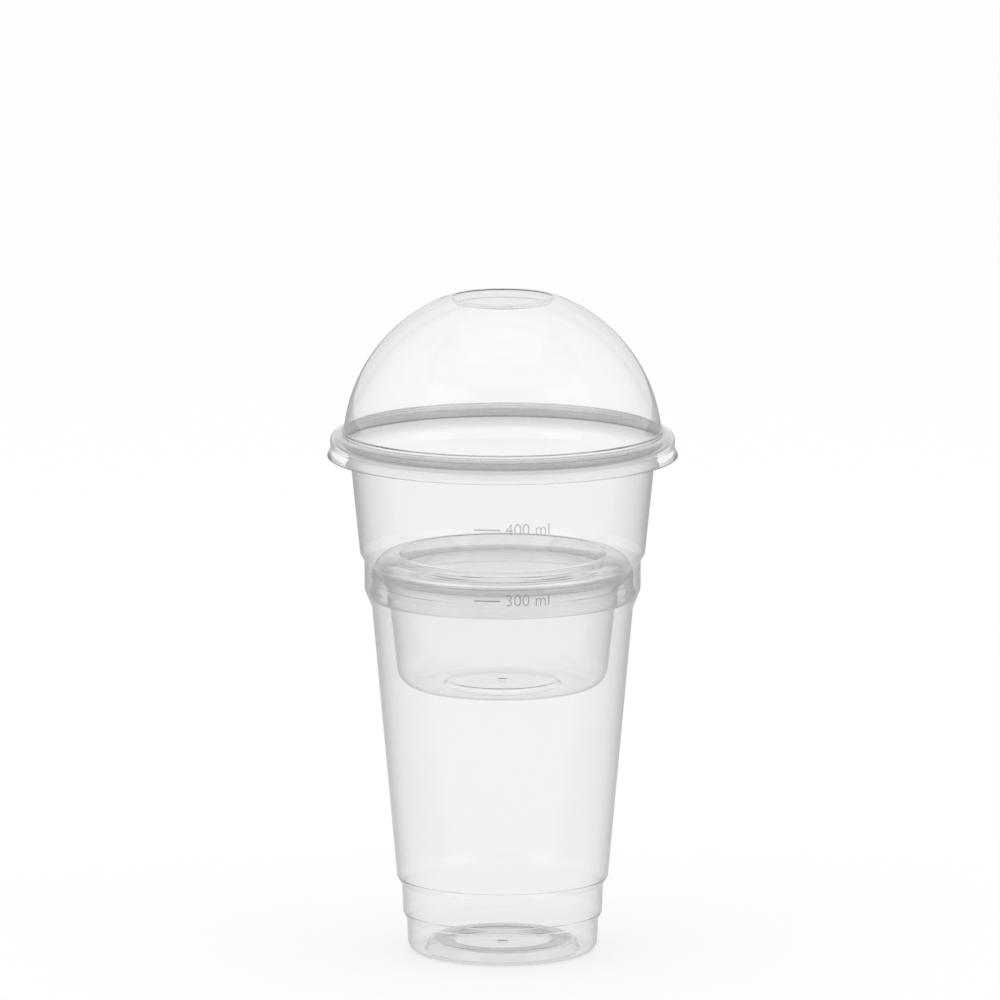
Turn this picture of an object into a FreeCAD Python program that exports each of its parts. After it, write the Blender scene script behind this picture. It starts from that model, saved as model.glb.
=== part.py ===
"""Clear drinking cup that carries a snap-lidded insert cup under a dome lid.

Every piece is one thermoformed sheet, so each is drawn as the outline of its outer face, from the
middle of its floor to its rim or edge, then thickened inwards and turned about the cup's axis.
Millimetres, +Z up, origin on the table under the middle of the cup's foot.
"""
import FreeCAD, Part
import math
import os

# Sheet thickness of each piece
cup_wall = 0.40
insert_wall = 0.35
insert_lid_wall = 0.35
dome_wall = 0.40

# Clearances between the pieces, lids shut
lid_seat_gap = 0.25          # between a lid's underside and the bead that it closes
insert_lid_play = 0.50       # all round, between the insert's bead and its lid's skirt
dome_play = 0.50             # all round, between the cup's bead and the dome's skirt
snap_gap = 0.20              # all round, between a bead and the snap ring that passes it
snap_drop = 0.4              # snap ring's middle below the underside of its bead
snap_blend = 0.9             # height over which a skirt turns in to its snap ring
shoulder_gap = 0.25          # between the insert lid's edge and the cup's seat shoulder

# Insert cup
insert_rim_diameter = 72.0
insert_bead = 2.5            # height of the rolled rim
insert_depth = 32.5          # rim plane down to the table face of its foot
insert_neck_height = 3.7
insert_neck_inset = 0.5
insert_step_height = 1.5
insert_step_inset = 1.25
insert_draft = 6.4           # degrees
insert_corner = 5.5
insert_foot_width = 7.0
insert_panel_rise = 1.2
insert_nub_radius = 1.6
insert_nub_depth = 0.7

# Insert lid
lid_shoulder_radius = 7.0
lid_skirt_height = 5.2
lid_edge_flare = 0.5
lid_recess_depth = 3.4
lid_recess_draft = 20.0      # degrees
lid_recess_corner = 0.9
lid_panel_inset = 3.2
lid_panel_rise = 0.5

# Cup
cup_rim_diameter = 95.0
cup_bead = 3.0               # height of the rolled rim
cup_height = 147.5           # table to the top of the rolled rim
neck_height = 3.4
neck_inset = 1.3
neck_band_height = 1.8
neck_band_inset = 0.3
neck_step_height = 1.6
neck_step_inset = 0.7
upper_wall_height = 26.2
upper_draft = 5.6            # degrees
ledge_height = 0.6
band_height = 9.0
band_clearance = 1.05        # insert lid's edge to the inside of the seat band
shoulder_height = 5.0
shoulder_inset = 2.1
lower_draft = 5.15           # degrees
upper_base_step_inset = 1.4
upper_base_tier_height = 8.0
lower_base_step_inset = 1.1
lower_base_tier_height = 9.0
base_step_height = 2.2
base_tier_draft = 2.2        # degrees
base_corner = 3.0
foot_width = 2.0
base_panel_rise = 3.1
base_panel_slope = 1.3       # radial run of the push-up's wall
base_disc_radius = 12.7
base_disc_drop = 0.6
base_nub_radius = 1.6
base_nub_depth = 0.8

# Dome lid
dome_radius = 44.8           # of the dome's outer sphere
dome_centre_drop = 3.8       # sphere's centre below the channel's top face
crown_radius = 15.5
crown_recess = 0.8
dome_skirt_height = 6.5
dome_skirt_flare = 0.8

# Small radii where the sheet turns
edge_round = 0.6
soft_round = 1.2

# Rolled rim: how far its curl turns past the level of its outer side, in degrees
curl_end = -75.0


def point(radius, height):
    return FreeCAD.Vector(radius, 0, height)


def outline(corners):
    """Edges through (radius, height, rounding) corners, each rounded corner a tangent arc."""
    edges = []
    last = point(*corners[0][:2])
    for before, here, after in zip(corners, corners[1:], corners[2:]):
        corner = point(*here[:2])
        towards_before = (point(*before[:2]) - corner).normalize()
        towards_after = (point(*after[:2]) - corner).normalize()
        half_angle = towards_before.getAngle(towards_after) / 2
        rounding = here[2]
        arc_start = corner + towards_before * (rounding / math.tan(half_angle))
        arc_end = corner + towards_after * (rounding / math.tan(half_angle))
        inward = (towards_before + towards_after).normalize()
        arc_middle = corner + inward * (rounding / math.sin(half_angle) - rounding)
        edges.append(Part.LineSegment(last, arc_start).toShape())
        edges.append(Part.Arc(arc_start, arc_middle, arc_end).toShape())
        last = arc_end
    edges.append(Part.LineSegment(last, point(*corners[-1][:2])).toShape())
    return edges


def turn_arc(centre_radius, centre_height, radius, start, end):
    """Arc about a point of the section, from one angle to another, in degrees from outwards."""
    def on_arc(angle):
        reach = math.radians(angle)
        return point(centre_radius + radius * math.cos(reach),
                     centre_height + radius * math.sin(reach))

    return Part.Arc(on_arc(start), on_arc((start + end) / 2), on_arc(end)).toShape()


def turned_sheet(edges, wall):
    """Sheet of this thickness inside the outline, turned about the axis."""
    section = Part.Wire(edges).makeOffset2D(wall, fill=True, openResult=True)
    return section.revolve(point(0, 0), FreeCAD.Vector(0, 0, 1), 360)


def rolled_rim(rim_radius, bead, wall, rim_plane):
    """Arc of the sheet's outer face round the rolled rim, which ends under its outer side."""
    return turn_arc(rim_radius - bead / 2, rim_plane, bead / 2 - wall, 180, curl_end)


def slope(draft):
    return math.tan(math.radians(draft))


# Insert cup and lid, measured from the lid's lower edge
insert_rim_radius = insert_rim_diameter / 2
lid_skirt_radius = insert_rim_radius + insert_lid_play + insert_lid_wall
lid_crest_radius = lid_skirt_radius - lid_shoulder_radius
lid_edge_radius = lid_skirt_radius + lid_edge_flare
nest_radius = lid_shoulder_radius - insert_lid_wall - lid_seat_gap - insert_bead / 2
bead_offset = insert_rim_radius - insert_bead / 2 - lid_crest_radius
insert_plane_over_edge = lid_skirt_height + math.sqrt(nest_radius ** 2 - bead_offset ** 2)

# Seat for the insert lid's edge on the cup's shoulder
cup_rim_plane = cup_height - cup_bead / 2
cup_rim_radius = cup_rim_diameter / 2
band_radius = lid_edge_radius + band_clearance + cup_wall
neck_low = cup_rim_plane - neck_height - neck_band_height - neck_step_height
ledge_low = neck_low - upper_wall_height - ledge_height
shoulder_top = ledge_low - band_height
shoulder_low = shoulder_top - shoulder_height
shoulder_lean = math.atan2(shoulder_inset, shoulder_height)
seat_run = band_radius - (cup_wall + shoulder_gap) / math.cos(shoulder_lean) - lid_edge_radius
lid_edge_plane = shoulder_top - seat_run / math.tan(shoulder_lean)
insert_rim_plane = lid_edge_plane + insert_plane_over_edge

# Channel of the dome lid over the cup's bead
channel_top = cup_height + lid_seat_gap + dome_wall
dome_skirt_radius = cup_rim_radius + dome_play + dome_wall


def make_cup():
    curl_inner = cup_rim_radius - cup_bead + cup_wall
    neck_radius = curl_inner - neck_inset
    neck_band_radius = neck_radius - neck_band_inset
    upper_top = neck_band_radius - neck_step_inset
    upper_low = upper_top - upper_wall_height * slope(upper_draft)
    shoulder_low_radius = band_radius - shoulder_inset
    tier_one_top = lower_base_tier_height
    tier_two_low = tier_one_top + base_step_height
    tier_two_top = tier_two_low + upper_base_tier_height
    lower_wall_low = tier_two_top + base_step_height
    lower_low = shoulder_low_radius - (shoulder_low - lower_wall_low) * slope(lower_draft)
    tier_two_radius = lower_low - upper_base_step_inset
    tier_two_low_radius = tier_two_radius - upper_base_tier_height * slope(base_tier_draft)
    tier_one_radius = tier_two_low_radius - lower_base_step_inset
    base_radius = tier_one_radius - lower_base_tier_height * slope(base_tier_draft)
    foot_outer = base_radius - base_corner
    foot_inner = foot_outer - foot_width
    panel_radius = foot_inner - base_panel_slope
    disc_height = base_panel_rise - base_disc_drop

    edges = outline([
        (0, disc_height - base_nub_depth),
        (base_nub_radius / 2, disc_height - base_nub_depth, base_nub_radius / 3),
        (base_nub_radius, disc_height, base_nub_radius / 3),
        (base_disc_radius - base_disc_drop, disc_height, base_disc_drop),
        (base_disc_radius, base_panel_rise, base_disc_drop),
        (panel_radius, base_panel_rise, edge_round),
        (foot_inner, 0, edge_round),
        (base_radius, 0, base_corner),
        (tier_one_radius, tier_one_top, edge_round),
        (tier_two_low_radius, tier_two_low, edge_round),
        (tier_two_radius, tier_two_top, edge_round),
        (lower_low, lower_wall_low, edge_round),
        (shoulder_low_radius, shoulder_low, soft_round),
        (band_radius, shoulder_top, soft_round),
        (band_radius, ledge_low, edge_round / 2),
        (upper_low, ledge_low + ledge_height, edge_round / 2),
        (upper_top, neck_low, edge_round),
        (neck_band_radius, neck_low + neck_step_height, edge_round),
        (neck_radius, cup_rim_plane - neck_height, edge_round),
        (curl_inner, cup_rim_plane - cup_bead / 2, edge_round),
        (curl_inner, cup_rim_plane),
    ])
    edges.append(rolled_rim(cup_rim_radius, cup_bead, cup_wall, cup_rim_plane))
    return turned_sheet(edges, cup_wall)


def make_insert_cup():
    base = insert_rim_plane - insert_depth
    curl_inner = insert_rim_radius - insert_bead + insert_wall
    neck_radius = curl_inner - insert_neck_inset
    wall_top = insert_rim_plane - insert_neck_height - insert_step_height
    wall_top_radius = neck_radius - insert_step_inset
    base_radius = wall_top_radius - (wall_top - base) * slope(insert_draft)
    foot_inner = base_radius - insert_corner - insert_foot_width
    panel_height = base + insert_panel_rise

    edges = outline([
        (0, panel_height - insert_nub_depth),
        (insert_nub_radius / 2, panel_height - insert_nub_depth, insert_nub_radius / 3),
        (insert_nub_radius, panel_height, insert_nub_radius / 3),
        (foot_inner - insert_panel_rise, panel_height, edge_round),
        (foot_inner, base, edge_round),
        (base_radius, base, insert_corner),
        (wall_top_radius, wall_top, soft_round),
        (neck_radius, wall_top + insert_step_height, edge_round),
        (curl_inner, insert_rim_plane - insert_bead / 2, edge_round),
        (curl_inner, insert_rim_plane),
    ])
    edges.append(rolled_rim(insert_rim_radius, insert_bead, insert_wall, insert_rim_plane))
    return turned_sheet(edges, insert_wall)


def make_insert_lid():
    skirt_top = lid_edge_plane + lid_skirt_height
    crest = skirt_top + lid_shoulder_radius
    floor = crest - lid_recess_depth
    recess_radius = lid_crest_radius - lid_recess_corner
    floor_radius = recess_radius - lid_recess_depth * slope(lid_recess_draft)
    panel_radius = floor_radius - lid_panel_inset

    edges = outline([
        (0, floor + lid_panel_rise),
        (panel_radius - lid_panel_rise, floor + lid_panel_rise, lid_panel_rise),
        (panel_radius, floor, lid_panel_rise),
        (floor_radius, floor, lid_recess_corner),
        (recess_radius, crest, lid_recess_corner),
        (lid_crest_radius, crest),
    ])
    edges.append(turn_arc(lid_crest_radius, skirt_top, lid_shoulder_radius, 90, 0))
    edges.extend(outline([
        (lid_skirt_radius, skirt_top),
        (insert_rim_radius + snap_gap + insert_lid_wall,
         insert_rim_plane - insert_bead / 2 - snap_drop - snap_blend, soft_round),
        (lid_edge_radius, lid_edge_plane),
    ]))
    return turned_sheet(edges, -insert_lid_wall)


def make_dome_lid():
    centre = channel_top - dome_centre_drop
    crown_angle = math.degrees(math.acos(crown_radius / dome_radius))
    foot_angle = math.degrees(math.asin(dome_centre_drop / dome_radius))
    foot_radius = dome_radius * math.cos(math.radians(foot_angle))
    crown = centre + dome_radius * math.sin(math.radians(crown_angle))
    crown_floor = crown - crown_recess
    snap_plane = cup_rim_plane - cup_bead / 2 - snap_drop

    edges = outline([
        (0, crown_floor),
        (crown_radius - 2 * crown_recess, crown_floor, crown_recess / 2),
        (crown_radius - crown_recess, crown, crown_recess / 3),
        (crown_radius, crown),
    ])
    edges.append(turn_arc(0, centre, dome_radius, crown_angle, foot_angle))
    edges.extend(outline([
        (foot_radius, channel_top),
        (dome_skirt_radius, channel_top, edge_round),
        (dome_skirt_radius, snap_plane + snap_blend, edge_round),
        (cup_rim_radius + snap_gap + dome_wall, snap_plane, edge_round),
        (dome_skirt_radius + dome_skirt_flare, channel_top - dome_skirt_height),
    ]))
    return turned_sheet(edges, -dome_wall)


pieces = {
    "cup": make_cup,
    "insert_cup": make_insert_cup,
    "insert_lid": make_insert_lid,
    "dome_lid": make_dome_lid,
}

os.makedirs("parts", exist_ok=True)
for name, make in pieces.items():
    shape = make()
    box = shape.BoundBox
    print(name, shape.ShapeType, shape.isValid(), len(shape.Solids), "solid",
          round(shape.Volume), "mm3", "z", round(box.ZMin, 2), round(box.ZMax, 2),
          "r", round(box.XMax, 2))
    shape.exportStep("parts/" + name + ".step")
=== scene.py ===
"""Clear drinking cup, insert cup, insert lid and dome lid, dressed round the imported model.

Each piece is one clear thermoformed sheet. Its section is drawn as a curve from its named sizes
and turned about the cup's axis by Geometry Nodes. Two fill marks are raised on the cup's front.
Metres, +Z up, the cup's foot on the floor at the origin.
"""
import math

import bmesh
import bpy
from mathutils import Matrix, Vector


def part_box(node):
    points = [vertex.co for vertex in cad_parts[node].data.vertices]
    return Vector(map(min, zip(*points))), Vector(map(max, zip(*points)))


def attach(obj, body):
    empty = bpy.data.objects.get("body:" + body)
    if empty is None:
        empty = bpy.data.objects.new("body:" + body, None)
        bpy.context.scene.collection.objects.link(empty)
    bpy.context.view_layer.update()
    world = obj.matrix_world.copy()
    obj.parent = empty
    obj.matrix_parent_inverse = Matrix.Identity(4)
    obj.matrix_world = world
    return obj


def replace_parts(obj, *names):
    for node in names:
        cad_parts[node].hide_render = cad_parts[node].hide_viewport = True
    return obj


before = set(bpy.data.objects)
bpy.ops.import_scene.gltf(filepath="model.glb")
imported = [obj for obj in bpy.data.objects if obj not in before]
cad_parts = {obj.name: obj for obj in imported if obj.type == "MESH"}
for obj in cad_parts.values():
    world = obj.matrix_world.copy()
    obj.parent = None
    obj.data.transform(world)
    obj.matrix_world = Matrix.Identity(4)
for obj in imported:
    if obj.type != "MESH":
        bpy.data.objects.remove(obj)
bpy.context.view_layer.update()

bl_info = {
    "name": "Clear cup with dome lid",
    "version": (1, 0, 0),
    "blender": (4, 5, 0),
    "location": "3D View > Sidebar > Cup",
    "description": "Makes the clear sheets of a cup, its insert and both lids, and their studio",
    "category": "Add Mesh",
}

MM = 0.001
SAME_PLACE = 1e-6  # metres: points that lie closer than this are one point
MARK_MERGE = 1e-7  # and the same for the fine outlines of the marks

EDGE_STEPS = 6  # round the half turn of a cut edge
CURL_STEPS = 56  # to a full turn of a rolled rim
DOME_STEPS = 180  # to a full turn of the dome's arc
CURL_END = -75.0  # degrees from level, under the rim's outer side
DOME_STOP = 3.0  # degrees between the end of the dome's arc and its foot

EDGE_ROUND = 0.6 * MM
LEDGE_ROUND = 2.5 * MM
SHOULDER_ROUND = 3.5 * MM
CROWN_ROUND = 0.5 * MM
CHANNEL_ROUND = 2.5 * MM
DOME_FOOT_ROUND = 0.25 * MM
SOFT_ROUND = 1.2 * MM
NUB_RADIUS = 1.6 * MM
NUB_ROUND = 0.55 * MM

LEVEL_LEAN = 1.0  # how far a level face's normal points up or down
STEEP_LEAN = 0.7  # and how far that of a wall may, if it is to count as upright
FROST_SCALE = 2500.0  # grains of the marks' frost along a metre

CAPITAL_SHARE = 0.73  # height of the built-in font's figures, as a share of its size
STROKE_TRIM = 0.015  # how much the strokes are thinned, as a share of the figures' height
DASH_STEPS = 24  # along a level line
MARK_REST = 0.4  # wall to a mark's middle, as a share of its thickness: its back sinks in a little

LAMPS = (  # name, place and width in metres, power in watts
    ("left", (-0.9, -0.7, 0.9), 0.7, 0.8),
    ("right", (0.9, -0.5, 0.8), 0.7, 0.6),
    ("over", (0.0, 0.1, 1.4), 1.0, 1.2),
)
LAMP_AIM = Vector((0.0, 0.0, 0.09))  # half way up the closed cup


def top_of(node):
    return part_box(node)[1][2]


def foot_of(node):
    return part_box(node)[0][2]


def reach_of(node):
    """Largest radius of a turned node. Its box is a hair narrow, because its faces are flat."""
    low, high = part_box(node)
    return max(high[0], -low[0], high[1], -low[1])


def length(name, description, default):
    return bpy.props.FloatProperty(
        name=name, description=description, default=default, unit="LENGTH", precision=5)


def angle(name, description, degrees):
    return bpy.props.FloatProperty(
        name=name, description=description, default=math.radians(degrees), unit="ROTATION")


def number(name, description, default):
    return bpy.props.FloatProperty(name=name, description=description, default=default)


def share(name, description, default):
    return bpy.props.FloatProperty(
        name=name, description=description, default=default, min=0.0, max=1.0)


def words(name, description, default):
    return bpy.props.StringProperty(name=name, description=description, default=default)


def colour(name, description, default):
    return bpy.props.FloatVectorProperty(
        name=name, description=description, default=default, subtype="COLOR", size=3,
        min=0.0, max=1.0)


class CupSizes(bpy.types.PropertyGroup):
    wall: length("Wall", "Thickness of the sheet", 0.40 * MM)
    rim_radius: length("Rim radius", "Outside of the rolled rim", reach_of("cup"))
    height: length("Height", "Table to the top of the rolled rim", top_of("cup"))
    bead: length("Bead", "Height of the rolled rim", 3.0 * MM)
    neck_height: length("Neck height", "Rim plane down to the crease under it", 3.4 * MM)
    neck_inset: length("Neck inset", "How far the neck draws in under the rim", 1.3 * MM)
    neck_band_height: length("Neck band height", "Height of the narrow band", 1.8 * MM)
    neck_band_inset: length("Neck band inset", "Lean of the narrow band", 0.3 * MM)
    neck_step_height: length("Neck step height", "Height of the step to the wall", 1.6 * MM)
    neck_step_inset: length("Neck step inset", "Depth of the step to the wall", 0.7 * MM)
    upper_wall: length("Upper wall", "Height of the tapered wall over the seat band", 26.2 * MM)
    upper_draft: angle("Upper draft", "Taper of the upper wall", 5.6)
    ledge: length("Ledge", "Height of the ledge over the seat band", 0.6 * MM)
    ledge_soft: length("Ledge softness", "Extra height of the ledge's blend", 1.4 * MM)
    band_radius: length("Band radius", "Outside of the seat band", 38.8 * MM)
    band: length("Band", "Height of the seat band", 9.0 * MM)
    shoulder: length("Shoulder", "Height of the sloped seat", 5.0 * MM)
    shoulder_inset: length("Shoulder inset", "How far the seat slopes in", 2.1 * MM)
    lower_draft: angle("Lower draft", "Taper of the lower wall", 5.15)
    upper_step_inset: length("Upper step inset", "Upper of the two base steps", 1.4 * MM)
    upper_tier: length("Upper tier", "Height of the wall between the base steps", 8.0 * MM)
    lower_step_inset: length("Lower step inset", "Lower of the two base steps", 1.1 * MM)
    lower_tier: length("Lower tier", "Height of the wall under the base steps", 9.0 * MM)
    step: length("Base step", "Height of each base step", 2.2 * MM)
    tier_draft: angle("Tier draft", "Taper of the base walls", 2.2)
    corner: length("Corner", "Rounding of the base", 3.0 * MM)
    foot: length("Foot", "Width of the ring that the cup stands on", 2.0 * MM)
    panel: length("Panel", "Height of the raised base panel", 3.1 * MM)
    panel_slope: length("Panel slope", "Radial run of the panel's wall", 1.3 * MM)
    disc_radius: length("Disc radius", "Shallow disc inside the panel", 13.0 * MM)
    disc_slope: length("Disc slope", "Radial run from the disc up to the panel", 2.2 * MM)
    disc_drop: length("Disc drop", "How far the disc lies under the panel", 1.3 * MM)
    # ring_radius and ring_blend only place the painted shade on the ridge round the base disc
    ring_radius: length("Ring radius", "Outer edge of the darker ridge round the disc", 20.5 * MM)
    ring_blend: length("Ring blend", "Width over which the ridge's tint fades", 2.0 * MM)


class InsertSizes(bpy.types.PropertyGroup):
    wall: length("Wall", "Thickness of the sheet", 0.35 * MM)
    rim_radius: length("Rim radius", "Outside of the rolled rim", reach_of("insert_cup"))
    top: length("Top", "Height of the rolled rim's top", top_of("insert_cup"))
    base: length("Base", "Height of the foot", foot_of("insert_cup"))
    bead: length("Bead", "Height of the rolled rim", 2.5 * MM)
    neck_height: length("Neck height", "Rim plane down to the step", 3.7 * MM)
    neck_inset: length("Neck inset", "How far the neck draws in under the rim", 0.5 * MM)
    step_height: length("Step height", "Height of the step to the wall", 1.5 * MM)
    step_inset: length("Step inset", "Depth of the step to the wall", 1.25 * MM)
    draft: angle("Draft", "Taper of the wall", 6.4)
    corner: length("Corner", "Rounding of the base", 5.5 * MM)
    foot: length("Foot", "Width of the foot ring", 7.0 * MM)
    panel: length("Panel", "Height of the raised base panel", 1.2 * MM)


class InsertLidSizes(bpy.types.PropertyGroup):
    wall: length("Wall", "Thickness of the sheet", 0.35 * MM)
    edge_radius: length("Edge radius", "Outside of the lower edge", reach_of("insert_lid"))
    edge: length("Edge", "Height of the lower edge", foot_of("insert_lid"))
    crest: length("Crest", "Height of the crest", top_of("insert_lid"))
    flare: length("Flare", "How far the edge stands out", 0.5 * MM)
    shoulder: length("Shoulder", "Radius of the rounded shoulder", 7.0 * MM)
    snap_inset: length("Snap inset", "Depth of the snap ring", 0.3 * MM)
    snap_height: length("Snap height", "Snap ring over the lower edge", 4.3 * MM)
    recess: length("Recess", "Depth of the recessed panel", 4.4 * MM)
    recess_draft: angle("Recess draft", "Slope of the recess wall", 20.0)
    recess_corner: length("Recess corner", "Rounding of the recess", 0.9 * MM)
    panel_inset: length("Panel inset", "Recess wall to the raised middle", 3.2 * MM)
    panel: length("Panel", "Height of the raised middle", 0.5 * MM)


class DomeSizes(bpy.types.PropertyGroup):
    wall: length("Wall", "Thickness of the sheet", 0.40 * MM)
    edge: length("Edge", "Height of the lower edge", foot_of("dome_lid"))
    skirt: length("Skirt", "Lower edge to the channel's top", 6.5 * MM)
    skirt_radius: length("Skirt radius", "Outside of the skirt", 48.4 * MM)
    flare: length("Flare", "How far the edge stands out", 0.8 * MM)
    snap_inset: length("Snap inset", "Depth of the snap ring", 0.3 * MM)
    snap_height: length("Snap height", "Snap ring over the lower edge", 2.45 * MM)
    snap_blend: length("Snap blend", "Height over which the skirt turns in", 0.9 * MM)
    radius: length("Radius", "Radius of the dome", 44.8 * MM)
    centre_drop: length("Centre drop", "Dome's centre under the channel's top", 3.8 * MM)
    foot_step: length("Foot step", "Width of the small step at the dome's foot", 0.5 * MM)
    foot_height: length("Foot height", "Height of the small step at the dome's foot", 0.8 * MM)
    crown_radius: length("Crown radius", "Rim of the flat crown", 15.5 * MM)
    crown_recess: length("Crown recess", "Depth of the crown's recess", 1.3 * MM)


class FillMarkSizes(bpy.types.PropertyGroup):
    upper: length("Upper mark", "Height of the upper mark's middle", 127.1 * MM)
    upper_words: words("Upper words", "What the upper mark says", "400 ml")
    lower: length("Lower mark", "Height of the lower mark's middle", 106.6 * MM)
    lower_words: words("Lower words", "What the lower mark says", "300 ml")
    figure: length("Figure height", "Height of the figures", 3.4 * MM)
    proud: length("Proud", "How far the marks stand out of the wall", 0.15 * MM)
    dash: length("Dash", "Length of the level line", 7.4 * MM)
    dash_width: length("Dash width", "Width of the level line", 0.4 * MM)
    gap: length("Gap", "Space between the level line and the figures", 1.4 * MM)


class SheetLook(bpy.types.PropertyGroup):
    bend: number("Bend", "Index of refraction", 1.57)
    cup_tint: colour("Cup tint", "What the cup's wall lets through", (0.96, 0.96, 0.957))
    # painted shade: the cup's rolled rim, and the neck fading into it, are darkened by this colour
    # for the dark that the curled layers show
    cup_rim_tint: colour(
        "Cup rim tint", "What the cup's rolled rim lets through", (0.67, 0.67, 0.665))
    cup_base_tint: colour(
        "Cup base tint", "What the cup's thick base lets through", (0.97, 0.97, 0.96))
    # painted outline shade: the cup's upright walls darken towards this colour as they turn
    # edge-on to the camera, partly for the longer path through the sheet, mostly for the dark
    # surroundings that the edges mirror
    cup_edge: colour("Cup edge", "What the cup lets through edge-on", (0.16, 0.163, 0.15))
    # painted shade on the ridge round the cup's base disc
    cup_ring_tint: colour(
        "Cup ring tint", "What the ridge in the cup's base lets through", (0.55, 0.55, 0.54))
    insert_tint: colour(
        "Insert tint", "What the insert's wall lets through", (0.995, 0.995, 0.99))
    # painted shade: the insert's rolled rim, and the neck fading into it, are darkened by this
    # colour for the dark that the curled layers show
    insert_rim_tint: colour(
        "Insert rim tint", "What the insert's rolled rim lets through", (0.78, 0.78, 0.77))
    # painted outline shade of the insert's upright walls, seen edge-on
    insert_edge: colour(
        "Insert edge", "What the insert lets through edge-on", (0.45, 0.46, 0.42))
    insert_lid_tint: colour(
        "Insert lid tint", "What the insert lid's crest lets through", (0.98, 0.98, 0.975))
    # painted shade: the insert lid's skirt and shoulder are darkened by these two colours, fading
    # to the lighter crest
    insert_lid_skirt: colour(
        "Insert lid skirt", "What the insert lid's skirt lets through", (0.88, 0.88, 0.87))
    insert_lid_bend: colour(
        "Insert lid bend", "What the insert lid's shoulder lets through", (0.95, 0.95, 0.945))
    # painted outline shade of the insert lid's upright walls, seen edge-on
    insert_lid_edge: colour(
        "Insert lid edge", "What the insert lid lets through edge-on", (0.45, 0.46, 0.43))
    dome_tint: colour("Dome tint", "What the dome lets through", (0.99, 0.99, 0.985))
    flange_tint: colour(
        "Flange tint", "What the dome's channel lets through", (0.98, 0.98, 0.975))
    # painted outline shade of the dome's upright walls, seen edge-on
    dome_edge: colour("Dome edge", "What the dome lets through edge-on", (0.80, 0.81, 0.78))
    # sharpness of the painted outline shade
    edge_power: number("Edge power", "How fast a sheet darkens towards its outline", 4.0)
    gloss: share("Gloss blur", "Roughness of the smoothest sheet", 0.02)
    haze: share("Haze blur", "Roughness where the sheet was drawn thin", 0.05)
    drawn_scale: number("Drawn scale", "Uneven places along a metre of sheet", 55.0)
    drawn_stretch: share("Drawn stretch", "How slowly they change along the height", 0.25)
    wave: share("Wave", "Strength of the sheet's waviness", 0.2)
    wave_depth: length("Wave depth", "Depth of the sheet's waviness", 0.05 * MM)
    mark_tint: colour("Mark tint", "Colour of the moulded marks", (0.87, 0.875, 0.87))
    mark_grain: share("Mark grain", "Brightness of the marks' darkest grain", 0.92)
    mark_clear: share("Mark clearness", "How much light passes the marks", 0.95)
    mark_gloss: share("Mark gloss blur", "Roughness of the marks' smoothest grain", 0.35)
    mark_haze: share("Mark haze blur", "Roughness of the marks' roughest grain", 0.6)
    steps_round: bpy.props.IntProperty(
        name="Steps round", description="Faces round each turned sheet", default=256)


class StudioSizes(bpy.types.PropertyGroup):
    distance: length("Distance", "Camera to the cup's axis, along the floor", 3.846)
    camera_height: length("Camera height", "Height of the camera over the floor", 0.7965)
    pitch: angle("Pitch", "How far the camera looks down", 9.853)
    aside: length("Aside", "Camera to the left of the cup's axis", 0.73 * MM)
    lens: number("Lens", "Focal length, in millimetres", 500.6)
    floor_radius: length("Floor radius", "Edge of the round floor", 9.0)
    room_light: colour("Room light", "Light that the surroundings give", (0.9, 0.9, 0.9))
    wall_gloss: colour("Wall gloss", "What gloss sees level with the cup", (0.90, 0.90, 0.90))
    top_gloss: colour("Top gloss", "What gloss sees overhead", (1.0, 1.0, 1.0))
    wall_rise: share("Wall rise", "Rise of view up to which gloss sees the wall", 0.05)
    top_rise: share("Top rise", "Rise of view from which gloss sees overhead", 0.75)
    near_gloss: colour("Near gloss", "What gloss sees of the floor near by", (0.75, 0.75, 0.75))
    far_gloss: colour("Far gloss", "What gloss sees of the floor far off", (0.50, 0.50, 0.50))
    near_floor: length("Near floor", "Where the floor starts to dim in gloss", 0.15)
    far_floor: length("Far floor", "Where the floor is dimmest in gloss", 0.9)
    floor_shade: colour("Floor shade", "Matt part of the floor, for shadows", (0.3, 0.3, 0.3))
    floor_glow: colour("Floor glow", "What the floor adds to look white", (0.71, 0.71, 0.71))
    floor_bounce: colour("Floor bounce", "Floor as it lights the cup", (0.8, 0.8, 0.8))
    floor_gap: length("Floor gap", "How far the floor lies under the cup's foot", 0.02 * MM)


def point_list(corners, steps_per_turn=60):
    """(place, normal) pairs along a line through (radius, height, rounding) corners.

    Each rounding is divided evenly, and the normals point to the left of the line's way.
    """
    found = []
    for index, (before, here, after) in enumerate(zip(corners, corners[1:], corners[2:])):
        corner = Vector(here[:2])
        arrive = (corner - Vector(before[:2])).normalized()
        leave = (Vector(after[:2]) - corner).normalized()
        if index == 0:
            found.append((Vector(before[:2]), left_of(arrive)))
        turn = math.atan2(arrive.cross(leave), arrive.dot(leave))
        rounding = here[2]
        start = corner - arrive * (rounding * math.tan(abs(turn) / 2))
        side = math.copysign(1.0, turn)
        centre = start + left_of(arrive) * rounding * side
        steps = max(2, math.ceil(abs(turn) / math.tau * steps_per_turn))
        for step in range(steps + 1):
            normal = turned(left_of(arrive), turn * step / steps)
            found.append((centre - normal * rounding * side, normal))
    last = Vector(corners[-1][:2])
    found.append((last, left_of((last - Vector(corners[-2][:2])).normalized())))
    return found


def left_of(way):
    return Vector((-way.y, way.x))


def turned(vector, turn):
    cosine, sine = math.cos(turn), math.sin(turn)
    return Vector((vector.x * cosine - vector.y * sine, vector.x * sine + vector.y * cosine))


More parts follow.
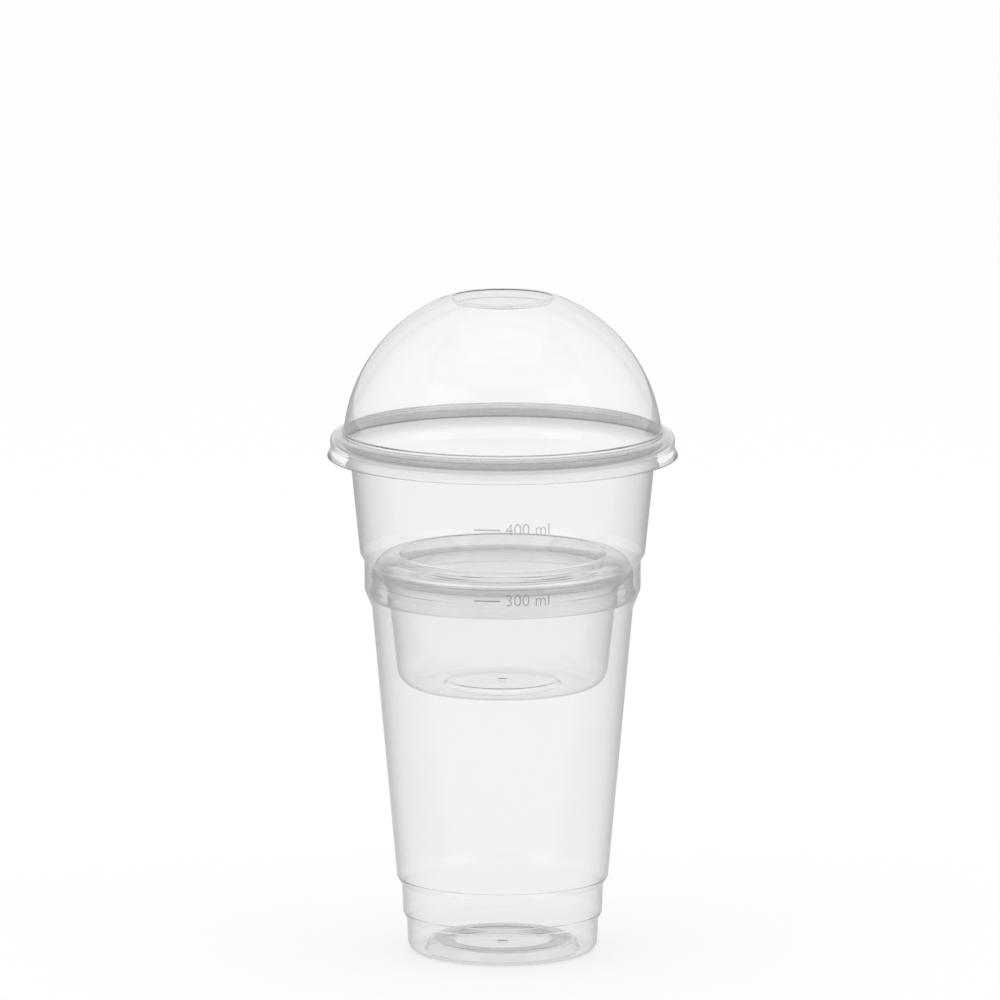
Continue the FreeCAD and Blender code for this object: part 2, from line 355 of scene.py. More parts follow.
def arc_list(centre, radius, start, end, steps_per_turn=72):
    """Points and left-hand normals of an arc from one angle to another, in degrees from +X."""
    side = -1.0 if end > start else 1.0
    steps = max(2, math.ceil(abs(end - start) / 360 * steps_per_turn))
    found = []
    for step in range(steps + 1):
        way = math.radians(start + (end - start) * step / steps)
        outward = Vector((math.cos(way), math.sin(way)))
        found.append((Vector(centre) + outward * radius, outward * side))
    return found


def without_doubles(points):
    kept = points[:1]
    for place, normal in points[1:]:
        if (place - kept[-1][0]).length > SAME_PLACE:
            kept.append((place, normal))
    return kept


def sheet_section(points, wall, side):
    """Closed run of a sheet's section: its outer face, a round edge, and back by its inner face.

    side is +1 where the inside lies to the left of the line, and -1 where it lies to the right.
    """
    points = without_doubles(points)
    outer = [place for place, normal in points]
    inner = [place + normal * wall * side for place, normal in points]
    middle = (outer[-1] + inner[-1]) / 2
    spoke = outer[-1] - middle
    edge = [middle + turned(spoke, math.pi * side * step / EDGE_STEPS)
            for step in range(1, EDGE_STEPS)]
    inner[0].x = 0.0
    return outer + edge + inner[::-1]


def turning_tree():
    """Geometry Nodes that sweep a section round a circle and merge it at the poles."""
    tree = bpy.data.node_groups.new("turned_sheet", "GeometryNodeTree")
    sockets = tree.interface
    sockets.new_socket("Section", in_out="INPUT", socket_type="NodeSocketGeometry")
    sockets.new_socket("Steps Round", in_out="INPUT", socket_type="NodeSocketInt")
    sockets.new_socket("Path Radius", in_out="INPUT", socket_type="NodeSocketFloat")
    sockets.new_socket("Sheet", in_out="INPUT", socket_type="NodeSocketMaterial")
    sockets.new_socket("Geometry", in_out="OUTPUT", socket_type="NodeSocketGeometry")
    given = tree.nodes.new("NodeGroupInput")
    result = tree.nodes.new("NodeGroupOutput")
    path = tree.nodes.new("GeometryNodeCurvePrimitiveCircle")
    sweep = tree.nodes.new("GeometryNodeCurveToMesh")
    merge = tree.nodes.new("GeometryNodeMergeByDistance")
    merge.inputs["Distance"].default_value = SAME_PLACE
    smooth = tree.nodes.new("GeometryNodeSetShadeSmooth")
    real = tree.nodes.new("GeometryNodeRealizeInstances")
    paint = tree.nodes.new("GeometryNodeSetMaterial")
    link = tree.links.new
    link(given.outputs["Steps Round"], path.inputs["Resolution"])
    link(given.outputs["Path Radius"], path.inputs["Radius"])
    link(path.outputs["Curve"], sweep.inputs["Curve"])
    link(given.outputs["Section"], sweep.inputs["Profile Curve"])
    link(sweep.outputs["Mesh"], merge.inputs["Geometry"])
    link(merge.outputs["Geometry"], smooth.inputs["Geometry"])
    link(smooth.outputs["Geometry"], real.inputs["Geometry"])
    link(real.outputs["Geometry"], paint.inputs["Geometry"])
    link(given.outputs["Sheet"], paint.inputs["Material"])
    link(paint.outputs["Geometry"], result.inputs["Geometry"])
    return tree


def turned_mesh(name, section, material, steps_round):
    """Plain mesh of a section turned about the axis, with its faces pointing outwards."""
    path_radius = max(place.x for place in section) / 2
    curve = bpy.data.curves.new(name + "_section", "CURVE")
    curve.dimensions = "2D"
    line = curve.splines.new("POLY")
    line.points.add(len(section) - 1)
    for held, place in zip(line.points, section):
        held.co = (place.x - path_radius, -place.y, 0.0, 1.0)
    holder = bpy.data.objects.new(name + "_section", curve)
    bpy.context.scene.collection.objects.link(holder)
    tree = bpy.data.node_groups.get("turned_sheet") or turning_tree()
    identifiers = {item.name: item.identifier for item in tree.interface.items_tree
                   if item.in_out == "INPUT"}
    modifier = holder.modifiers.new("turn", "NODES")
    modifier.node_group = tree
    modifier[identifiers["Steps Round"]] = steps_round
    modifier[identifiers["Path Radius"]] = path_radius
    modifier[identifiers["Sheet"]] = material
    graph = bpy.context.evaluated_depsgraph_get()
    mesh = bpy.data.meshes.new_from_object(holder.evaluated_get(graph))
    holder.modifiers.remove(modifier)
    bpy.data.objects.remove(holder)
    bpy.data.curves.remove(curve)
    mesh.name = name
    face_outwards(mesh)
    return mesh


def face_outwards(mesh):
    """Turns a closed mesh right side out, as a whole."""
    work = bmesh.new()
    work.from_mesh(mesh)
    open_edges = [edge for edge in work.edges if len(edge.link_faces) != 2]
    if open_edges:
        raise RuntimeError(f"{mesh.name} has {len(open_edges)} open edges")
    if work.calc_volume(signed=True) < 0:
        bmesh.ops.reverse_faces(work, faces=work.faces)
    work.to_mesh(mesh)
    work.free()


def new_piece(name, mesh, body):
    piece = bpy.data.objects.new(name, mesh)
    bpy.context.scene.collection.objects.link(piece)
    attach(piece, body)
    return piece


def rolled_rim(rim_radius, bead, wall, plane):
    """The wall's outer face as it goes on inside the rolled rim's curl, to the sheet's end."""
    return arc_list((rim_radius - bead / 2, plane), bead / 2 - wall, 180.0, CURL_END, CURL_STEPS)


def cup_line(size):
    """Outer face of the cup's section, from the middle of its base to the end of its rim."""
    plane = size.height - size.bead / 2
    curl_inner = size.rim_radius - size.bead + size.wall
    neck = curl_inner - size.neck_inset
    neck_band = neck - size.neck_band_inset
    upper_top = neck_band - size.neck_step_inset
    neck_low = plane - size.neck_height - size.neck_band_height - size.neck_step_height
    ledge_low = neck_low - size.upper_wall - size.ledge
    upper_low = upper_top - size.upper_wall * math.tan(size.upper_draft)
    shoulder_top = ledge_low - size.band
    shoulder_low = shoulder_top - size.shoulder
    shoulder_radius = size.band_radius - size.shoulder_inset
    tier_two_low = size.lower_tier + size.step
    tier_two_top = tier_two_low + size.upper_tier
    wall_low = tier_two_top + size.step
    lower_low = shoulder_radius - (shoulder_low - wall_low) * math.tan(size.lower_draft)
    tier_two = lower_low - size.upper_step_inset
    tier_two_foot = tier_two - size.upper_tier * math.tan(size.tier_draft)
    tier_one = tier_two_foot - size.lower_step_inset
    base = tier_one - size.lower_tier * math.tan(size.tier_draft)
    foot_inner = base - size.corner - size.foot
    panel = foot_inner - size.panel_slope
    disc = size.panel - size.disc_drop
    line = point_list([
        (0.0, disc - NUB_RADIUS / 2),
        (NUB_RADIUS / 2, disc - NUB_RADIUS / 2, NUB_ROUND),
        (NUB_RADIUS, disc, NUB_ROUND),
        (size.disc_radius, disc, SOFT_ROUND),
        (size.disc_radius + size.disc_slope, size.panel, SOFT_ROUND),
        (panel, size.panel, SOFT_ROUND),
        (foot_inner, 0.0, EDGE_ROUND),
        (base, 0.0, size.corner),
        (tier_one, size.lower_tier, EDGE_ROUND),
        (tier_two_foot, tier_two_low, EDGE_ROUND),
        (tier_two, tier_two_top, EDGE_ROUND),
        (lower_low, wall_low, EDGE_ROUND),
        (shoulder_radius, shoulder_low, SHOULDER_ROUND),
        (size.band_radius, shoulder_top, SHOULDER_ROUND),
        (size.band_radius, ledge_low - size.ledge_soft / 2, LEDGE_ROUND),
        (upper_low, ledge_low + size.ledge + size.ledge_soft / 2, LEDGE_ROUND),
        (upper_top, neck_low, EDGE_ROUND),
        (neck_band, neck_low + size.neck_step_height, EDGE_ROUND),
        (neck, plane - size.neck_height, EDGE_ROUND),
        (curl_inner, plane - size.bead / 2, EDGE_ROUND),
        (curl_inner, plane),
    ])
    return line + rolled_rim(size.rim_radius, size.bead, size.wall, plane)


def insert_line(size):
    """Outer face of the insert cup's section."""
    plane = size.top - size.bead / 2
    curl_inner = size.rim_radius - size.bead + size.wall
    neck = curl_inner - size.neck_inset
    wall_top = plane - size.neck_height - size.step_height
    top_radius = neck - size.step_inset
    base_radius = top_radius - (wall_top - size.base) * math.tan(size.draft)
    foot_inner = base_radius - size.corner - size.foot
    panel = size.base + size.panel
    line = point_list([
        (0.0, panel - NUB_RADIUS / 2),
        (NUB_RADIUS / 2, panel - NUB_RADIUS / 2, NUB_ROUND),
        (NUB_RADIUS, panel, NUB_ROUND),
        (foot_inner - size.panel, panel, EDGE_ROUND),
        (foot_inner, size.base, EDGE_ROUND),
        (base_radius, size.base, size.corner),
        (top_radius, wall_top, SOFT_ROUND),
        (neck, wall_top + size.step_height, EDGE_ROUND),
        (curl_inner, plane - size.bead / 2, EDGE_ROUND),
        (curl_inner, plane),
    ])
    return line + rolled_rim(size.rim_radius, size.bead, size.wall, plane)


def insert_lid_line(size):
    """Outer face of the insert lid's section, from its middle to its lower edge."""
    skirt_radius = size.edge_radius - size.flare
    crest_radius = skirt_radius - size.shoulder
    skirt_top = size.crest - size.shoulder
    floor = size.crest - size.recess
    recess_top = crest_radius - size.recess_corner
    recess_foot = recess_top - size.recess * math.tan(size.recess_draft)
    panel = recess_foot - size.panel_inset
    line = point_list([
        (0.0, floor + size.panel),
        (panel - size.panel, floor + size.panel, size.panel),
        (panel, floor, size.panel),
        (recess_foot, floor, size.recess_corner),
        (recess_top, size.crest, size.recess_corner),
        (crest_radius, size.crest),
    ])
    line += arc_list((crest_radius, skirt_top), size.shoulder, 90.0, 0.0)
    return line + point_list([
        (skirt_radius, skirt_top),
        (skirt_radius - size.snap_inset, size.edge + size.snap_height, SOFT_ROUND),
        (size.edge_radius, size.edge),
    ])


def dome_line(size):
    """Outer face of the dome's section, from its crown to its lower edge."""
    channel = size.edge + size.skirt
    centre = channel - size.centre_drop
    crown_angle = math.degrees(math.acos(size.crown_radius / size.radius))
    foot_angle = math.degrees(math.asin(size.centre_drop / size.radius))
    crown = centre + size.radius * math.sin(math.radians(crown_angle))
    crown_floor = crown - size.crown_recess
    foot_radius = size.radius * math.cos(math.radians(foot_angle))
    snap = size.edge + size.snap_height
    line = point_list([
        (0.0, crown_floor),
        (size.crown_radius - 2 * size.crown_recess, crown_floor, CROWN_ROUND),
        (size.crown_radius - size.crown_recess, crown, CROWN_ROUND),
        (size.crown_radius, crown),
    ])
    line += arc_list(
        (0.0, centre), size.radius, crown_angle, foot_angle + DOME_STOP, DOME_STEPS)
    last = line[-1][0]
    return line + point_list([
        (last.x, last.y),
        (foot_radius, channel + size.foot_height, DOME_FOOT_ROUND),
        (foot_radius + size.foot_step, channel + size.foot_height, DOME_FOOT_ROUND),
        (foot_radius + size.foot_step, channel, DOME_FOOT_ROUND),
        (size.skirt_radius, channel, CHANNEL_ROUND),
        (size.skirt_radius, snap + size.snap_blend, EDGE_ROUND),
        (size.skirt_radius - size.snap_inset, snap, EDGE_ROUND),
        (size.skirt_radius + size.flare, size.edge),
    ])


def faded(tree, value, start, end):
    """Socket that goes smoothly from 0 to 1 while value goes from start to end."""
    fade = tree.nodes.new("ShaderNodeMapRange")
    fade.interpolation_type = "SMOOTHSTEP"
    fade.inputs["From Min"].default_value = start
    fade.inputs["From Max"].default_value = end
    tree.links.new(value, fade.inputs["Value"])
    return fade.outputs["Result"]


def spread(tree, value, low, high):
    """Socket that goes evenly from low to high while value goes from 0 to 1."""
    even = tree.nodes.new("ShaderNodeMapRange")
    even.inputs["To Min"].default_value = low
    even.inputs["To Max"].default_value = high
    tree.links.new(value, even.inputs["Value"])
    return even.outputs["Result"]


def multiplied(tree, first, second):
    product = tree.nodes.new("ShaderNodeMath")
    product.operation = "MULTIPLY"
    tree.links.new(first, product.inputs[0])
    tree.links.new(second, product.inputs[1])
    return product.outputs["Value"]


def mixed_colour(tree, factor, first, second, blend="MIX"):
    """Socket that goes from the first to the second while factor goes from 0 to 1.

    Each of the two is a socket or a colour.
    """
    mix = tree.nodes.new("ShaderNodeMix")
    mix.data_type = "RGBA"
    mix.blend_type = blend
    tree.links.new(factor, mix.inputs["Factor"])
    for side, shown in (("A", first), ("B", second)):
        if isinstance(shown, bpy.types.NodeSocket):
            tree.links.new(shown, mix.inputs[side])
        else:
            mix.inputs[side].default_value = (*shown, 1.0)
    return mix.outputs["Result"]


def height_of(tree, place):
    parts = tree.nodes.new("ShaderNodeSeparateXYZ")
    tree.links.new(place, parts.inputs["Vector"])
    return parts.outputs["Z"]


def length_of(tree, vector):
    measure = tree.nodes.new("ShaderNodeVectorMath")
    measure.operation = "LENGTH"
    tree.links.new(vector, measure.inputs[0])
    return measure.outputs["Value"]


def upright_share(tree, normal):
    """Socket that is 1 on an upright or steep wall and 0 on a level face."""
    lean = tree.nodes.new("ShaderNodeMath")
    lean.operation = "ABSOLUTE"
    tree.links.new(height_of(tree, normal), lean.inputs[0])
    return faded(tree, lean.outputs["Value"], LEVEL_LEAN, STEEP_LEAN)


def zone_tint(tree, place, zones):
    """Socket of the tint at a height, with painted shade where a zone is darkened for it. zones
    are (height, tint) from low to high.
    """
    low, high = zones[0][0], zones[-1][0]
    along = tree.nodes.new("ShaderNodeMapRange")
    along.inputs["From Min"].default_value = low
    along.inputs["From Max"].default_value = high
    tree.links.new(height_of(tree, place), along.inputs["Value"])
    tint = tree.nodes.new("ShaderNodeValToRGB")
    ramp = tint.color_ramp
    ramp.interpolation = "EASE"
    while len(ramp.elements) < len(zones):
        ramp.elements.new(0.5)
    for stop, (level, shown) in zip(ramp.elements, zones):
        stop.position = (level - low) / (high - low)
        stop.color = (*shown, 1.0)
    tree.links.new(along.outputs["Result"], tint.inputs["Fac"])
    return tint.outputs["Color"]


def ring_tint(tree, place, tint_and_shade, ring):
    """Socket with painted shade on the ridge round the base. ring is (inner, outer, top, blend,
    tint).
    """
    inner, outer, top, blend, shown = ring
    flat = tree.nodes.new("ShaderNodeVectorMath")
    flat.operation = "MULTIPLY"
    flat.inputs[1].default_value = (1.0, 1.0, 0.0)
    tree.links.new(place, flat.inputs[0])
    radius = length_of(tree, flat.outputs["Vector"])
    band = multiplied(tree, faded(tree, radius, inner, inner + blend),
                      faded(tree, radius, outer, outer - blend))
    band = multiplied(tree, band, faded(tree, height_of(tree, place), top + blend, top))
    return mixed_colour(tree, band, tint_and_shade, shown)


def outline_share(tree, normal, power):
    """Mask of the painted outline shade: a socket that rises to 1 where an upright wall is seen
    edge-on.
    """
    facing = tree.nodes.new("ShaderNodeLayerWeight")
    outline = tree.nodes.new("ShaderNodeMath")
    outline.operation = "POWER"
    outline.inputs[1].default_value = power
    tree.links.new(facing.outputs["Facing"], outline.inputs[0])
    return multiplied(tree, outline.outputs["Value"], upright_share(tree, normal))


def add_drawn_surface(tree, place, shader, look):
    """Slightly uneven gloss and waviness of a sheet that was drawn into a mould."""
    stretch = tree.nodes.new("ShaderNodeMapping")
    stretch.inputs["Scale"].default_value = (1.0, 1.0, look.drawn_stretch)
    tree.links.new(place, stretch.inputs["Vector"])
    drawn = tree.nodes.new("ShaderNodeTexNoise")
    drawn.inputs["Scale"].default_value = look.drawn_scale
    drawn.inputs["Detail"].default_value = 2.0
    tree.links.new(stretch.outputs["Vector"], drawn.inputs["Vector"])
    tree.links.new(spread(tree, drawn.outputs["Fac"], look.gloss, look.haze),
                   shader.inputs["Roughness"])
    wave = tree.nodes.new("ShaderNodeBump")
    wave.inputs["Strength"].default_value = look.wave
    wave.inputs["Distance"].default_value = look.wave_depth
    tree.links.new(drawn.outputs["Fac"], wave.inputs["Height"])
    tree.links.new(wave.outputs["Normal"], shader.inputs["Normal"])


def clear_sheet(name, look, painted_outline_colour, zones, ring=None):
    """Clear thermoformed sheet. zones are (height, tint) from low to high, blended between; the
    darker zones at rolled rims and at the insert lid's skirt are painted shade, ring adds painted
    shade on a ridge, and edge-on walls get a painted outline shade.
    """
    material = bpy.data.materials.new(name)
    material.use_nodes = True
    tree = material.node_tree
    shader = tree.nodes["Principled BSDF"]
    shader.inputs["Transmission Weight"].default_value = 1.0
    shader.inputs["IOR"].default_value = look.bend
    surface = tree.nodes.new("ShaderNodeTexCoord")
    place = surface.outputs["Object"]
    # the sheet's tint together with painted shade by height
    tint_and_shade = zone_tint(tree, place, zones)
    if ring:
        tint_and_shade = ring_tint(tree, place, tint_and_shade, ring)
    # painted outline shade: upright walls are multiplied towards the outline colour as they face
    # away from the camera
    outline = outline_share(tree, surface.outputs["Normal"], look.edge_power)
    outline_shaded = mixed_colour(tree, outline, tint_and_shade, painted_outline_colour, blend="MULTIPLY")
    tree.links.new(outline_shaded, shader.inputs["Base Color"])
    add_drawn_surface(tree, place, shader, look)
    return material


def mark_plastic(look):
    """Lightly frosted raised plastic of the marks."""
    material = bpy.data.materials.new("fill_marks")
    material.use_nodes = True
    tree = material.node_tree
    shader = tree.nodes["Principled BSDF"]
    shader.inputs["Transmission Weight"].default_value = look.mark_clear
    shader.inputs["IOR"].default_value = look.bend
    place = tree.nodes.new("ShaderNodeTexCoord")
    frost = tree.nodes.new("ShaderNodeTexNoise")
    frost.inputs["Scale"].default_value = FROST_SCALE
    tree.links.new(place.outputs["Object"], frost.inputs["Vector"])
    tree.links.new(spread(tree, frost.outputs["Fac"], look.mark_gloss, look.mark_haze),
                   shader.inputs["Roughness"])
    grain = [look.mark_grain * part for part in look.mark_tint]
    tree.links.new(mixed_colour(tree, frost.outputs["Fac"], grain, look.mark_tint),
                   shader.inputs["Base Color"])
    return material


class CUP_OT_cup_sheet(bpy.types.Operator):
    """Make the cup's clear sheet"""
    bl_idname = "cup.cup_sheet"
    bl_label = "Cup"

    def execute(self, context):
        size = context.scene.cup_sizes
        look = context.scene.sheet_look
        bead_low = size.height - size.bead
        sheet = clear_sheet("cup_sheet", look, look.cup_edge, [
            (0.0, look.cup_base_tint),
            (size.panel, look.cup_base_tint),
            (2 * size.panel, look.cup_tint),
            (bead_low - size.neck_height, look.cup_tint),
            # painted shade on the neck and rolled rim
            (bead_low, look.cup_rim_tint),
            (size.height, look.cup_rim_tint),
        # the ring adds painted shade on the ridge round the base disc
        ], ring=(size.disc_radius, size.ring_radius, size.panel, size.ring_blend,
                 look.cup_ring_tint))
        section = sheet_section(cup_line(size), size.wall, 1)
        mesh = turned_mesh("cup_sheet", section, sheet, look.steps_round)
        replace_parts(new_piece("cup_sheet", mesh, "cup"), "cup")
        return {"FINISHED"}


class CUP_OT_insert_sheet(bpy.types.Operator):
    """Make the insert cup's clear sheet"""
    bl_idname = "cup.insert_sheet"
    bl_label = "Insert cup"

    def execute(self, context):
        size = context.scene.insert_sizes
        look = context.scene.sheet_look
        bead_low = size.top - size.bead
        sheet = clear_sheet("insert_sheet", look, look.insert_edge, [
            (size.base, look.insert_tint),
            (bead_low - size.neck_height / 2, look.insert_tint),
            # painted shade on the neck and rolled rim
            (bead_low, look.insert_rim_tint),
            (size.top, look.insert_rim_tint),
        ])
        section = sheet_section(insert_line(size), size.wall, 1)
        mesh = turned_mesh("insert_sheet", section, sheet, look.steps_round)
        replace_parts(new_piece("insert_sheet", mesh, "insert"), "insert_cup")
        return {"FINISHED"}


class CUP_OT_insert_lid_sheet(bpy.types.Operator):
    """Make the insert lid's clear sheet"""
    bl_idname = "cup.insert_lid_sheet"
    bl_label = "Insert lid"

    def execute(self, context):
        size = context.scene.insert_lid_sizes
        look = context.scene.sheet_look
        sheet = clear_sheet("insert_lid_sheet", look, look.insert_lid_edge, [
            # painted shade, darker towards the lower edge
            (size.edge, look.insert_lid_skirt),
            (size.crest - size.shoulder, look.insert_lid_skirt),
            (size.crest - size.recess, look.insert_lid_bend),
            (size.crest, look.insert_lid_tint),
        ])
        section = sheet_section(insert_lid_line(size), size.wall, -1)
        mesh = turned_mesh("insert_lid_sheet", section, sheet, look.steps_round)
        piece = new_piece("insert_lid_sheet", mesh, "insert_lid")
        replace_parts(piece, "insert_lid")
        return {"FINISHED"}


class CUP_OT_dome_sheet(bpy.types.Operator):
    """Make the dome lid's clear sheet"""
    bl_idname = "cup.dome_sheet"
    bl_label = "Dome lid"

    def execute(self, context):
        size = context.scene.dome_sizes
        look = context.scene.sheet_look
        channel = size.edge + size.skirt
        sheet = clear_sheet("dome_sheet", look, look.dome_edge, [
            (size.edge, look.flange_tint),
            (channel, look.flange_tint),
            (channel + size.skirt, look.dome_tint),
            (channel + size.radius, look.dome_tint),
        ])
        section = sheet_section(dome_line(size), size.wall, -1)
        mesh = turned_mesh("dome_sheet", section, sheet, look.steps_round)
        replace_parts(new_piece("dome_sheet", mesh, "dome_lid"), "dome_lid")
        return {"FINISHED"}


def wall_radius(line, height):
    """Outer radius of a wall at a height, from its outline's points."""
    rising = [place for place, normal in line]
    for low, high in zip(rising, rising[1:]):
        if low.y <= height <= high.y and high.y > low.y:
            part = (height - low.y) / (high.y - low.y)
            return low.x + part * (high.x - low.x)
    raise RuntimeError(f"no wall at height {height}")


def lettering_mesh(figures, size, thickness):
    """Raised lettering as a plain mesh, its left end at the origin and its middle on y = 0."""
    text = bpy.data.curves.new(figures, "FONT")
    text.body = figures
    text.size = size / CAPITAL_SHARE
    text.extrude = thickness / 2
    text.offset = -STROKE_TRIM * size
    text.align_y = "CENTER"
    holder = bpy.data.objects.new(figures, text)
    bpy.context.scene.collection.objects.link(holder)
    graph = bpy.context.evaluated_depsgraph_get()
    mesh = bpy.data.meshes.new_from_object(holder.evaluated_get(graph))
    bpy.data.objects.remove(holder)
    bpy.data.curves.remove(text)
    return mesh


def add_dash(work, marks):
    """Adds a level line to work as a thin closed bar, in steps so that it can follow the wall."""
    rings = []
    for step in range(DASH_STEPS + 1):
        along = (step / DASH_STEPS - 1) * marks.dash - marks.gap / 2
        rings.append([
            work.verts.new((along, across * marks.dash_width / 2, up * marks.proud / 2))
            for across, up in ((-1, -1), (1, -1), (1, 1), (-1, 1))])
    for here, there in zip(rings, rings[1:]):
        for corner in range(4):
            work.faces.new((here[corner - 1], here[corner], there[corner], there[corner - 1]))
    work.faces.new(rings[0])
    work.faces.new(rings[-1])


def wrapped_mark(work, figures, height, marks, cup):
    """Adds a level line and its figures to work, wrapped round the front of the cup's wall."""
    letters = lettering_mesh(figures, marks.figure, marks.proud)
    start = len(work.verts)
    work.from_mesh(letters)
    bpy.data.meshes.remove(letters)
    work.verts.ensure_lookup_table()
    for vertex in work.verts[start:]:
        vertex.co.x += marks.gap / 2
    add_dash(work, marks)
    work.verts.ensure_lookup_table()
    line = cup_line(cup)
    for vertex in work.verts[start:]:
        level = height + vertex.co.y
        radius = wall_radius(line, level) + vertex.co.z + marks.proud * MARK_REST
        around = vertex.co.x / radius
        vertex.co = (radius * math.sin(around), -radius * math.cos(around), level)


class CUP_OT_fill_marks(bpy.types.Operator):
    """Make the raised fill marks on the cup's front"""
    bl_idname = "cup.fill_marks"
    bl_label = "Fill marks"

    def execute(self, context):
        marks = context.scene.fill_mark_sizes
        cup = context.scene.cup_sizes
        work = bmesh.new()
        wrapped_mark(work, marks.upper_words, marks.upper, marks, cup)
        wrapped_mark(work, marks.lower_words, marks.lower, marks, cup)
        bmesh.ops.remove_doubles(work, verts=work.verts, dist=MARK_MERGE)
        bmesh.ops.recalc_face_normals(work, faces=work.faces)
        mesh = bpy.data.meshes.new("fill_marks")
        work.to_mesh(mesh)
        work.free()
        face_outwards(mesh)
        mesh.materials.append(mark_plastic(context.scene.sheet_look))
        new_piece("fill_marks", mesh, "cup")
        return {"FINISHED"}


class CUP_OT_stage(bpy.types.Operator):
    """Make the white floor, the soft lights and the camera"""
    bl_idname = "cup.stage"
    bl_label = "Stage"

    def execute(self, context):
        studio = context.scene.studio
        make_camera(studio)
        make_world(studio)
        make_floor(studio)
        make_lights()
        context.scene.view_settings.view_transform = "Standard"
        context.scene.cycles.max_bounces = 32
        context.scene.cycles.glossy_bounces = 12
        context.scene.cycles.transmission_bounces = 32
        context.scene.cycles.transparent_max_bounces = 48
        return {"FINISHED"}


def make_camera(studio):
    lens = bpy.data.cameras.new("camera")
    lens.lens = studio.lens
    lens.clip_end = 40.0
    camera = bpy.data.objects.new("camera", lens)
    camera.location = (-studio.aside, -studio.distance, studio.camera_height)
    camera.rotation_euler = (math.pi / 2 - studio.pitch, 0.0, 0.0)
    bpy.context.scene.collection.objects.link(camera)
    bpy.context.scene.camera = camera


def make_world(studio):
    """White to the eye and through clear sheet; gloss sees a light ceiling over dimmer sides."""
    world = bpy.data.worlds.new("studio")
    bpy.context.scene.world = world
    world.use_nodes = True
    tree = world.node_tree
    tree.nodes.clear()
    output = tree.nodes.new("ShaderNodeOutputWorld")
    white = tree.nodes.new("ShaderNodeBackground")
    white.inputs["Color"].default_value = (1.0, 1.0, 1.0, 1.0)
    light = tree.nodes.new("ShaderNodeBackground")
    light.inputs["Color"].default_value = (*studio.room_light, 1.0)
    way = tree.nodes.new("ShaderNodeTexCoord")
    rise = faded(tree, height_of(tree, way.outputs["Generated"]), studio.wall_rise,
                 studio.top_rise)
    dim = tree.nodes.new("ShaderNodeBackground")
    tree.links.new(mixed_colour(tree, rise, studio.wall_gloss, studio.top_gloss),
                   dim.inputs["Color"])
    mix_by_ray(tree, plain=light.outputs["Background"], seen=white.outputs["Background"],
               mirrored=dim.outputs["Background"], output=output.inputs["Surface"])


def mix_by_ray(tree, plain, seen, mirrored, output):
    """Shows seen to the eye and through clear sheet, mirrored to gloss, and plain to the rest.

    A ray belongs to gloss once it has bounced off a glossy face.
    """
    path = tree.nodes.new("ShaderNodeLightPath")
    direct = tree.nodes.new("ShaderNodeMath")
    direct.operation = "MAXIMUM"
    tree.links.new(path.outputs["Is Camera Ray"], direct.inputs[0])
    tree.links.new(path.outputs["Is Transmission Ray"], direct.inputs[1])
    bounced = tree.nodes.new("ShaderNodeMath")
    bounced.operation = "GREATER_THAN"
    bounced.inputs[1].default_value = 0.5
    tree.links.new(path.outputs["Glossy Depth"], bounced.inputs[0])
    shown = mixed_shader(tree, direct.outputs["Value"], plain, seen)
    tree.links.new(mixed_shader(tree, bounced.outputs["Value"], shown, mirrored), output)


def mixed_shader(tree, factor, first, second):
    mix = tree.nodes.new("ShaderNodeMixShader")
    for socket, given in zip(mix.inputs, (factor, first, second)):
        tree.links.new(given, socket)
    return mix.outputs["Shader"]


def make_floor(studio):
    """Round white floor that keeps a soft shadow."""
    work = bmesh.new()
    bmesh.ops.create_circle(work, cap_ends=True, segments=96, radius=studio.floor_radius)
    mesh = bpy.data.meshes.new("floor")
    work.to_mesh(mesh)
    work.free()
    mesh.materials.append(floor_paint(studio))
    floor = bpy.data.objects.new("floor", mesh)
    floor.location.z = -studio.floor_gap
    bpy.context.scene.collection.objects.link(floor)


def floor_paint(studio):
    """White to the eye with a soft shadow, plain as it lights the cup, and graded in gloss."""
    paint = bpy.data.materials.new("floor_paint")
    paint.use_nodes = True
    tree = paint.node_tree
    tree.nodes.clear()
    output = tree.nodes.new("ShaderNodeOutputMaterial")
    matt = tree.nodes.new("ShaderNodeBsdfDiffuse")
    matt.inputs["Color"].default_value = (*studio.floor_shade, 1.0)
    glow = tree.nodes.new("ShaderNodeEmission")
    glow.inputs["Color"].default_value = (*studio.floor_glow, 1.0)
    both = tree.nodes.new("ShaderNodeAddShader")
    tree.links.new(matt.outputs["BSDF"], both.inputs[0])
    tree.links.new(glow.outputs["Emission"], both.inputs[1])
    plain = tree.nodes.new("ShaderNodeBsdfDiffuse")
    plain.inputs["Color"].default_value = (*studio.floor_bounce, 1.0)
    place = tree.nodes.new("ShaderNodeTexCoord")
    away = faded(tree, length_of(tree, place.outputs["Object"]), studio.near_floor,
                 studio.far_floor)
    dim = tree.nodes.new("ShaderNodeEmission")
    tree.links.new(mixed_colour(tree, away, studio.near_gloss, studio.far_gloss),
                   dim.inputs["Color"])
    mix_by_ray(tree, plain=plain.outputs["BSDF"], seen=both.outputs["Shader"],
               mirrored=dim.outputs["Emission"], output=output.inputs["Surface"])
    return paint


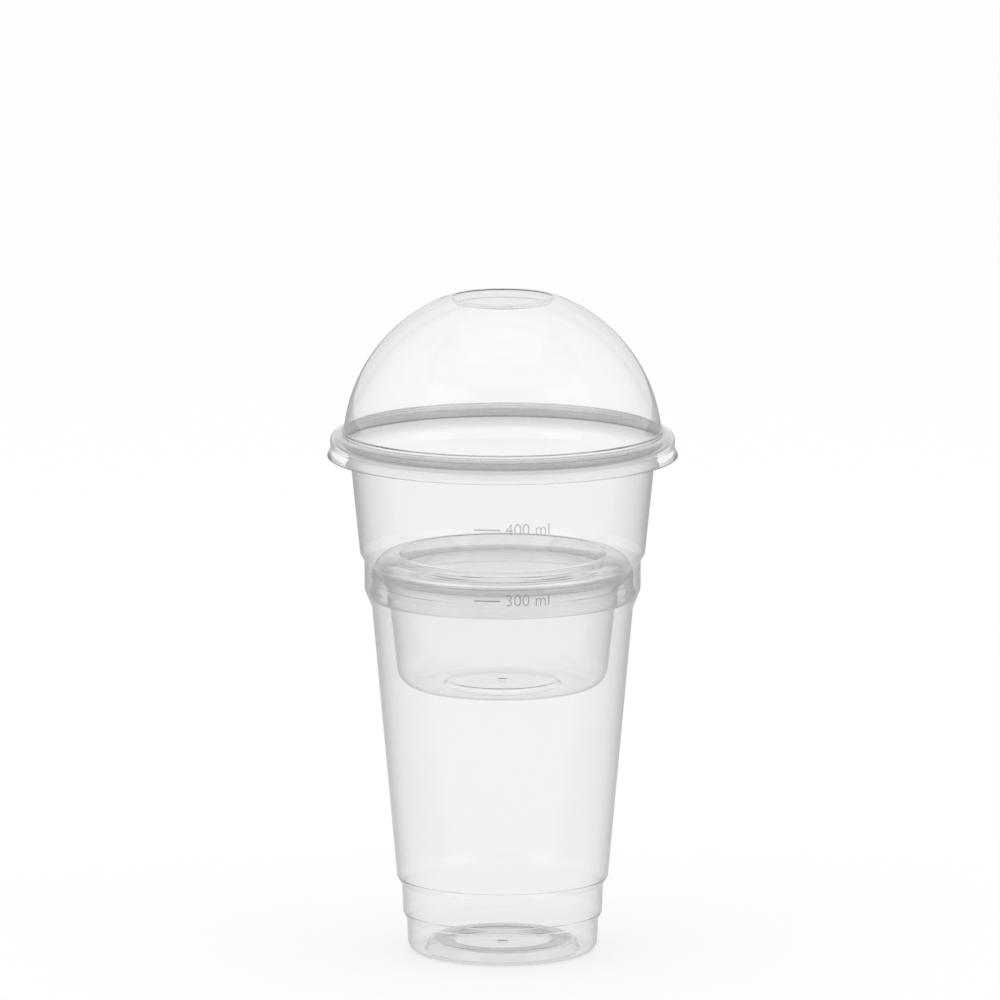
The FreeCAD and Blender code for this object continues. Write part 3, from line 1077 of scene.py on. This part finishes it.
def make_lights():
    """Two large soft lights, left and right of the camera, and one overhead."""
    for name, place, size, power in LAMPS:
        lamp = bpy.data.lights.new(name, "AREA")
        lamp.shape = "SQUARE"
        lamp.size = size
        lamp.energy = power
        holder = bpy.data.objects.new(name, lamp)
        holder.location = place
        holder.visible_glossy = False
        aim = LAMP_AIM - Vector(place)
        holder.rotation_euler = aim.to_track_quat("-Z", "Y").to_euler()
        bpy.context.scene.collection.objects.link(holder)


class CUP_PT_panel(bpy.types.Panel):
    """Lists the pieces in the sidebar"""
    bl_idname = "CUP_PT_panel"
    bl_label = "Clear cup"
    bl_space_type = "VIEW_3D"
    bl_region_type = "UI"
    bl_category = "Cup"

    def draw(self, context):
        for operator in OPERATORS:
            self.layout.operator(operator.bl_idname)
        for group, sizes in SIZE_GROUPS.items():
            column = self.layout.column(heading=sizes.__name__)
            for name in sizes.__annotations__:
                column.prop(getattr(context.scene, group), name)


OPERATORS = (
    CUP_OT_stage,
    CUP_OT_cup_sheet,
    CUP_OT_insert_sheet,
    CUP_OT_insert_lid_sheet,
    CUP_OT_dome_sheet,
    CUP_OT_fill_marks,
)
SIZE_GROUPS = {
    "cup_sizes": CupSizes,
    "insert_sizes": InsertSizes,
    "insert_lid_sizes": InsertLidSizes,
    "dome_sizes": DomeSizes,
    "fill_mark_sizes": FillMarkSizes,
    "sheet_look": SheetLook,
    "studio": StudioSizes,
}


def register():
    for made in (*SIZE_GROUPS.values(), *OPERATORS, CUP_PT_panel):
        bpy.utils.register_class(made)
    for name, sizes in SIZE_GROUPS.items():
        setattr(bpy.types.Scene, name, bpy.props.PointerProperty(type=sizes))


def unregister():
    for name in SIZE_GROUPS:
        delattr(bpy.types.Scene, name)
    for made in (CUP_PT_panel, *reversed(OPERATORS), *SIZE_GROUPS.values()):
        bpy.utils.unregister_class(made)


def main():
    register()
    for operator in OPERATORS:
        group, name = operator.bl_idname.split(".")
        getattr(getattr(bpy.ops, group), name)()


if __name__ == "__main__":
    main()
